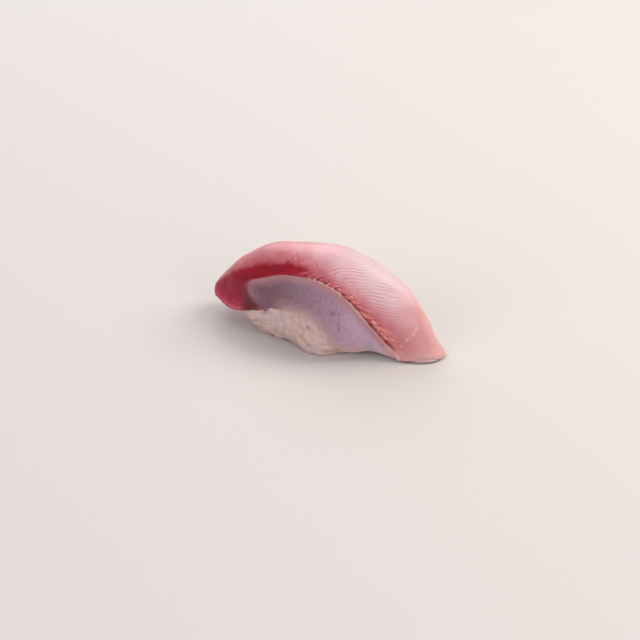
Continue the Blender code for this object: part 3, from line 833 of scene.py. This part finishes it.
# %% Turn a grain and lay it down
GRAIN_TILT = 13.0  # degrees
FACES_DOWN = -0.85  # a normal's z below which a spot is on the underside
LINE_POINTS = 5  # points that stand for a grain's middle line

core.data.calc_loop_triangles()
corners = np.array([[core.data.vertices[v].co for v in t.vertices] for t in core.data.loop_triangles]) / MM
areas = lengths(np.cross(corners[:, 1] - corners[:, 0], corners[:, 2] - corners[:, 0]))


def dart(draw, k):
    """A random point on one triangle of the core, and the normal there."""
    u, v = np.sort(draw.random(2))
    a, b, c = corners[k]
    return a * u + b * (v - u) + c * (1 - v), unit(np.cross(b - a, c - a))


def lay_grain(spot, normal, draw):
    """A grain's points, turned and tilted to lie here, and points along its middle line."""
    size = draw.uniform(*GRAIN_SIZES)
    lying = unit(np.cross(normal, draw.normal(size=3)))
    lying = unit(lying + normal * math.tan(math.radians(draw.uniform(-GRAIN_TILT, GRAIN_TILT))))
    side = unit(np.cross(normal, lying))
    turn = np.stack([lying, side * draw.choice((-1, 1)), np.cross(lying, side)], axis=0)
    middle = spot + np.linspace(-1, 1, LINE_POINTS)[:, None] * lying * size * (GRAIN_LENGTH - GRAIN_WIDTH) / 2
    return (grain_shapes[draw.integers(GRAIN_SHAPES)] * size).reshape(-1, 3) @ turn + spot, middle


def first_that_fits(spot, normal, stands, draw):
    """The highest stand at which a grain keeps to the frame and doesn't press too far into the slice."""
    down = normal[2] < FACES_DOWN
    for stand in stands[-2:] if down else stands:
        grain, middle = lay_grain(spot + normal * stand, normal, draw)
        inside = grain[:, 2].min() > -PRESSED_FLAT and np.abs(grain[:, 1]).max() < cad_box[1][1] / MM
        if inside and depth_in_fish(grain) < PRESSED_DEPTH and not past_the_slice(grain):
            return grain, middle
    return None, None


print("triangles of the core:", len(corners))

# %% Spread the grains over the core
BED_SPACING, BED_STANDS = 1.8, (0.55, 0.2, -0.1, -0.5, -0.9)  # mm, and the grain's middle over the core
TOP_STANDS = (0.95, 0.7, 0.4, 0.0, -0.4, -0.8)  # the same for the upper layer
TOP_CLEARANCE = 2.6  # mm between the middle lines of two grains that lie side by side
GRAIN_TURNS = 5  # ways that a grain is turned before it is left out
PASSES = ((13, 9000, OPEN_ROOM), (12, 2600, LEAST_ROOM))  # seed, spots tried, and the room that they need

placed, bed, lines = [], np.empty((0, 3)), np.empty((0, 3))
for seed, darts, least_room in PASSES:  # first the open sides, then under the slice's edges
    draw = np.random.default_rng(seed)
    for k in draw.choice(len(corners), darts, p=areas / areas.sum()):
        spot, normal = dart(draw, k)
        room = room_over(spot, normal)
        if room < least_room or (room == OPEN_ROOM) != (least_room == OPEN_ROOM):
            continue
        if not len(bed) or lengths(bed - spot).min() > BED_SPACING:
            grain, _ = first_that_fits(spot, normal, BED_STANDS, draw)
            if grain is not None:
                placed.append(grain)
                bed = np.vstack([bed, spot])
        if len(lines) and lengths(lines - spot - normal * TOP_STANDS[0]).min() < TOP_CLEARANCE:
            continue
        for _ in range(GRAIN_TURNS):
            grain, middle = first_that_fits(spot, normal, TOP_STANDS, draw)
            if grain is None:
                continue
            if not len(lines) or lengths(lines[:, None] - middle).min() > TOP_CLEARANCE:
                placed.append(grain)
                lines = np.vstack([lines, middle])
                break
    print("after seed", seed, "grains in the bed:", len(bed), "on top:", len(lines) // LINE_POINTS)

# %% [markdown]
# ## Melt the grains together
# The voxel remesh needs one object with the core and all the grains. Its grid is fine enough to keep
# the creases between grains. Some smoothing gives the swollen, sticky look, small closed pockets are
# dropped, and the underside is pressed flat where it rests.

# %% Join, remesh and smooth
VOXEL = 0.24
SMOOTHING, SMOOTHING_STEPS = 0.5, 5


def keep_largest(mesh):
    """Drops every part of a mesh but the one with the most points, and counts those dropped."""
    work = bmesh.new()
    work.from_mesh(mesh)
    unseen, parts = set(work.verts), []
    while unseen:
        part = [unseen.pop()]
        for vert in part:  # the list grows as its neighbours join it
            reached = [edge.other_vert(vert) for edge in vert.link_edges]
            part += [other for other in reached if other in unseen]
            unseen.difference_update(reached)
        parts.append(part)
    parts.sort(key=len)
    bmesh.ops.delete(work, geom=[vert for part in parts[:-1] for vert in part], context="VERTS")
    work.to_mesh(mesh)
    work.free()
    return len(parts) - 1


faces, step = tube_faces(GRAIN_BELTS, GRAIN_SIDES), GRAIN_BELTS * GRAIN_SIDES
faces = [[v + k * step for v in face] for k in range(len(placed)) for face in faces]
grain_mesh = bpy.data.meshes.new("grains")
grain_mesh.from_pydata((np.concatenate(placed) * MM).tolist(), [], faces)
make_outward(grain_mesh)
whole = bmesh.new()
whole.from_mesh(core.data)
whole.from_mesh(grain_mesh)
rice_mesh = bpy.data.meshes.new("rice_ball_dressed")
whole.to_mesh(rice_mesh)
whole.free()
bpy.data.objects.remove(core)
rice = add_object("rice_ball_dressed", rice_mesh)
melt = rice.modifiers.new("melt", "REMESH")
melt.mode, melt.voxel_size = "VOXEL", VOXEL * MM
soften = rice.modifiers.new("soften", "SMOOTH")
soften.factor, soften.iterations = SMOOTHING, SMOOTHING_STEPS
apply_modifiers(rice)
pockets = keep_largest(rice.data)
for vert in rice.data.vertices:
    vert.co.z = max(vert.co.z, 0.0)
rice.data.shade_smooth()
print("rice triangles:", 2 * len(rice.data.polygons), "pockets dropped:", pockets)

# %% [markdown]
# ## Raw yellowtail
# Fresh yellowtail is wet, slightly see-through muscle cut by a very sharp knife, so light sinks in,
# spreads and comes back softer and pinker, and the cut face has a satin gloss. Each tone could be a
# material of its own, but they melt into each other, so one material covers it all: the masks mix its
# tones, and noise in the slice's own millimetres breaks up their edges.

# %% The tones of flesh, bloodline and skin
FLESH_TONES = (  # mask, colour, and the noise that breaks up its edge
    ("rosy", "#d5898e", 0.2),
    ("salmon", "#c98c8e", 0.2),
    # paler flesh, partly painted highlight on the crest
    ("pale", "#d6bec1", 0.3),
    ("flush", "#b7555f", 0.25),
    ("lines", "#c38794", 0.4),
    ("ridges", "#efdcdb", 0.3),
    ("flecks", "#dfa9ae", 0.3),
    ("blood", "#97041f", 0.2),
    ("tip", "#9a0a35", 0.2),
    ("clots", "#6c0220", 0.3),
    ("tip_rim", "#bb3454", 0.2),
    # partly painted shade low on the near face
    ("maroon_shade", "#5a1019", 0.15),
    ("seam", "#9c483a", 0.4),
    # dark slits, partly painted shade
    ("slit", "#782624", 0.2),
    ("beads", "#d07c7e", 0.2),
    ("warm", "#d08c80", 0.3),
    ("bloody", "#ba5a66", 0.3),
    # painted highlights on the beads
    ("painted_bead_highlights", "#e6a6a4", 0.3),
    # pale thin edges and the painted sheen along the outline
    ("pale_edges_and_sheen", "#dbb0aa", 0.15),
    # painted highlights by the tail
    ("painted_glints", "#e6bfbf", 0.2),
)
SKIN_TONES = (  # the same for the skin
    # lilac, partly a painted reflection
    ("skin_lilac_and_reflection", "#c0a0b6", 0.2),
    ("skin_foot", "#b49391", 0.2),
    ("skin_rim", "#ab7c80", 0.3),
    ("skin_end", "#c2958e", 0.3),
    ("specks", "#785a68", 0.3),
)
FASCIA_TONES = (("fascia", "#d3aeaa", 0.5),)
FLESH_COLOUR, SKIN_COLOUR = "#ddb9bf", "#77545f"
print("tones laid over one another:", len(FLESH_TONES + SKIN_TONES + FASCIA_TONES))

# %% Helpers for patches and tones
PUSH_GAIN = 8  # half a unit of noise, times a quarter where a mask is half, times this makes 1


def patches(tree, place, size, stretch=None, turn=0.0, detail=2.0):
    """Soft patches of this size, in the units of the place, stretched and turned about Z."""
    scale = tuple(1 / (size * s) for s in (stretch or (1, 1, 1)))
    turned = add(tree, "ShaderNodeMapping", {0: place, "Rotation": (0, 0, turn)})
    mapped = add(tree, "ShaderNodeMapping", {0: turned.outputs[0], "Scale": scale})
    return add(tree, "ShaderNodeTexNoise", {0: mapped.outputs[0], "Scale": 1.0, "Detail": detail}).outputs[0]


def toned(tree, colour, tones, speckle):
    """A colour with each tone laid over it by its mask, whose edge wanders with the noise."""
    for name, tone, amount in tones:
        mask = add(tree, "ShaderNodeAttribute", attribute_name=name).outputs["Fac"]
        rest = add(tree, "ShaderNodeMath", {0: 1.0, 1: mask}, operation="SUBTRACT").outputs[0]
        edge = add(tree, "ShaderNodeMath", {0: mask, 1: rest}, operation="MULTIPLY").outputs[0]
        centred = add(tree, "ShaderNodeMath", {0: speckle, 1: 0.5}, operation="SUBTRACT").outputs[0]
        inputs = {0: centred, 1: PUSH_GAIN * amount}
        push = add(tree, "ShaderNodeMath", inputs, operation="MULTIPLY").outputs[0]
        inputs = {0: edge, 1: push, 2: mask}
        moved = add(tree, "ShaderNodeMath", inputs, operation="MULTIPLY_ADD", use_clamp=True).outputs[0]
        inputs = {0: moved, 6: colour, 7: linear(tone)}
        colour = add(tree, "ShaderNodeMix", inputs, data_type="RGBA").outputs[2]
    return colour


def shaded(tree, colour, speckle, darkest, lightest):
    """A colour that the noise makes darker and lighter by these factors."""
    shade = add(tree, "ShaderNodeMapRange", {"Value": speckle, "To Min": darkest, "To Max": lightest})
    inputs = {0: 1.0, 6: colour, 7: shade.outputs[0]}
    return add(tree, "ShaderNodeMix", inputs, data_type="RGBA", blend_type="MULTIPLY").outputs[2]


flesh, tree, shader = new_material("raw_yellowtail_knife_cut")
print("started:", flesh.name)

# %% The flesh, bloodline and skin in one material
FIBRE_WIDTH, FIBRE_LENGTH = 0.35, 4.0  # a bundle's, as single fibres of 0.1 mm are too fine to show
MOTTLE_SIZE, SKIN_MOTTLE_SIZE = 3.0, 1.1  # patches of fat in the flesh, and of pigment in the skin
GRIT_SIZE = 0.45  # the grain of the wet cut, drawn a little coarser than it is

place = add(tree, "ShaderNodeAttribute", attribute_name="slice_mm").outputs["Vector"]
slant = -math.atan(LINE_SLANT)
fibres = patches(tree, place, FIBRE_WIDTH, (FIBRE_LENGTH / FIBRE_WIDTH, 1, 1), slant)
mottle = patches(tree, place, MOTTLE_SIZE, detail=3.0)
skin_mottle = patches(tree, place, SKIN_MOTTLE_SIZE, detail=3.0)
grit = patches(tree, place, GRIT_SIZE)

colour = shaded(tree, toned(tree, linear(FLESH_COLOUR), FLESH_TONES, mottle), fibres, 0.86, 1.12)
skin_colour = toned(tree, linear(SKIN_COLOUR), SKIN_TONES, skin_mottle)
skin_colour = shaded(tree, skin_colour, skin_mottle, 0.9, 1.1)
skin_mask = add(tree, "ShaderNodeAttribute", attribute_name="skin").outputs["Fac"]
colour = add(tree, "ShaderNodeMix", {0: skin_mask, 6: colour, 7: skin_colour}, data_type="RGBA").outputs[2]
colour = toned(tree, colour, FASCIA_TONES, grit)

bead_mask = add(tree, "ShaderNodeAttribute", attribute_name="beads").outputs["Fac"]
gloss = add(tree, "ShaderNodeMapRange", {"Value": grit, "To Min": 0.3, "To Max": 0.5}).outputs[0]
for mask, duller in ((skin_mask, 0.1), (bead_mask, -0.12)):
    gloss = add(tree, "ShaderNodeMath", {0: mask, 1: duller, 2: gloss}, operation="MULTIPLY_ADD").outputs[0]
rough_height = add(tree, "ShaderNodeMath", {0: fibres, 1: 0.6, 2: grit}, operation="MULTIPLY_ADD").outputs[0]
bump = add(tree, "ShaderNodeBump", {"Strength": 0.35, "Distance": 0.06 * MM, "Height": rough_height})
fill(tree, shader, {
    "Base Color": colour, "Roughness": gloss, "Normal": bump.outputs[0],
    "IOR": 1.38, "Specular IOR Level": 0.4, "Coat Weight": 0.06, "Coat Roughness": 0.22,
    "Subsurface Weight": 0.35, "Subsurface Radius": (1.0, 0.35, 0.28), "Subsurface Scale": 1.6 * MM,
})
fish.data.materials.clear()
fish.data.materials.append(flesh)
print("nodes in the fish material:", len(tree.nodes))

# %% [markdown]
# ## Steamed rice
# Cooked rice is starch full of water: pale, slightly see-through, and sticky on the outside, with a
# soft gloss where the seasoning dries. Creases between grains glow a little, because light passes
# through from grain to grain. The colours below are pinker and darker than white rice: the warm tint
# of the shade that the ball sits in is painted into them.

# %% The rice material
# pinkish mauve-beige: white rice with a warm painted shade in its colour
RICE_COLOUR, RICE_DEEP, RICE_COOL = "#ceb4ae", "#c6a79c", "#c4b1b5"
RICE_MOTTLE, RICE_COOL_SIZE = 5.0, 6.5  # about a grain long, so that neighbours differ in tone
STARCH_SIZE = 0.5  # the grain of the sticky film, drawn a little coarser than it is
boiled, tree, shader = new_material("short_grain_rice_steamed_and_pressed")
place = add(tree, "ShaderNodeTexCoord").outputs["Object"]
tone = patches(tree, place, RICE_MOTTLE * MM)
starch = patches(tree, place, STARCH_SIZE * MM)
cool = patches(tree, place, RICE_COOL_SIZE * MM, detail=1.0)
cool = add(tree, "ShaderNodeMapRange", {0: cool, "From Min": 0.45, "From Max": 0.7, "To Max": 0.5}).outputs[0]
colour = linear(RICE_DEEP)
for amount, laid_over in ((tone, RICE_COLOUR), (cool, RICE_COOL)):
    inputs = {0: amount, 6: colour, 7: linear(laid_over)}
    colour = add(tree, "ShaderNodeMix", inputs, data_type="RGBA").outputs[2]
gloss = add(tree, "ShaderNodeMapRange", {"Value": starch, "To Min": 0.38, "To Max": 0.55}).outputs[0]
bump = add(tree, "ShaderNodeBump", {"Strength": 0.25, "Distance": 0.05 * MM, "Height": starch})
fill(tree, shader, {
    "Base Color": colour, "Roughness": gloss, "Normal": bump.outputs[0], "IOR": 1.42,
    "Subsurface Weight": 0.6, "Subsurface Radius": (1.0, 0.75, 0.6), "Subsurface Scale": 1.8 * MM,
})
rice.data.materials.clear()
rice.data.materials.append(boiled)
print("nodes in the rice material:", len(tree.nodes))

# %% [markdown]
# ## Floor and light
# The photograph's light is one broad, soft source from behind and to the right, over the slice's
# shoulder, with the near side in gentle shade. One large area light makes it. Weaker ones from the
# right, from behind and from the front fill the shade. The floor is painted matt and pale, so it shows
# a soft shadow and no reflection, and throws some light back up.

# %% Build the stage
FLOOR_SIZE = 3.0  # metres, as are the places and sizes of the lights
LIT_SPOT = Vector((0, 0, 0.01))  # every light faces it


def area_light(name, place, size, power, tint):
    """A square area light of this many watts that faces the middle of the piece."""
    lamp = bpy.data.lights.new(name, "AREA")
    lamp.size, lamp.energy, lamp.color = size, power, linear(tint)[:3]
    light = add_object(name, lamp)
    light.location = place
    light.rotation_euler = (Vector(place) - LIT_SPOT).to_track_quat("Z", "Y").to_euler()


half = FLOOR_SIZE / 2
floor_corners = [(-half, -half, 0), (half, -half, 0), (half, half, 0), (-half, half, 0)]
floor_mesh = bpy.data.meshes.new("floor")
floor_mesh.from_pydata(floor_corners, [], [(0, 1, 2, 3)])
floor = add_object("floor", floor_mesh)
backdrop, tree, shader = new_material("matt_painted_backdrop")
fill(tree, shader, {"Base Color": linear("#cfcbc8"), "Roughness": 0.8})
floor_mesh.materials.append(backdrop)

area_light("window", (0.42, 0.34, 0.56), 0.5, 4.3, "#fff6f0")
area_light("right_side", (0.7, -0.4, 0.35), 0.5, 2.2, "#fffaf6")
area_light("back_left", (-0.4, 0.45, 0.5), 0.6, 2.9, "#ffffff")
area_light("front_fill", (-0.35, -0.75, 0.45), 0.6, 3.1, "#f6f2ff")
world = bpy.data.worlds.new("studio")
world.use_nodes = True
sky = world.node_tree.nodes["Background"]
fill(world.node_tree, sky, {"Color": linear("#f4f2f0"), "Strength": 0.4})
bpy.context.scene.world = world
bpy.context.scene.view_settings.view_transform = "Standard"

# %% [markdown]
# ## Ride and replace
# Each piece rides on the one body and takes the place of its plain solid. The construction's box is
# printed.

# %% Ride and replace
for piece, node, slot in ((fish, "yellowtail_slice", "raw_fish"), (rice, "rice_ball", "cooked_rice")):
    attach(piece, "root")
    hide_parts(node)
print("cad box, mm:", np.round(np.array(cad_box) / MM, 2).tolist())
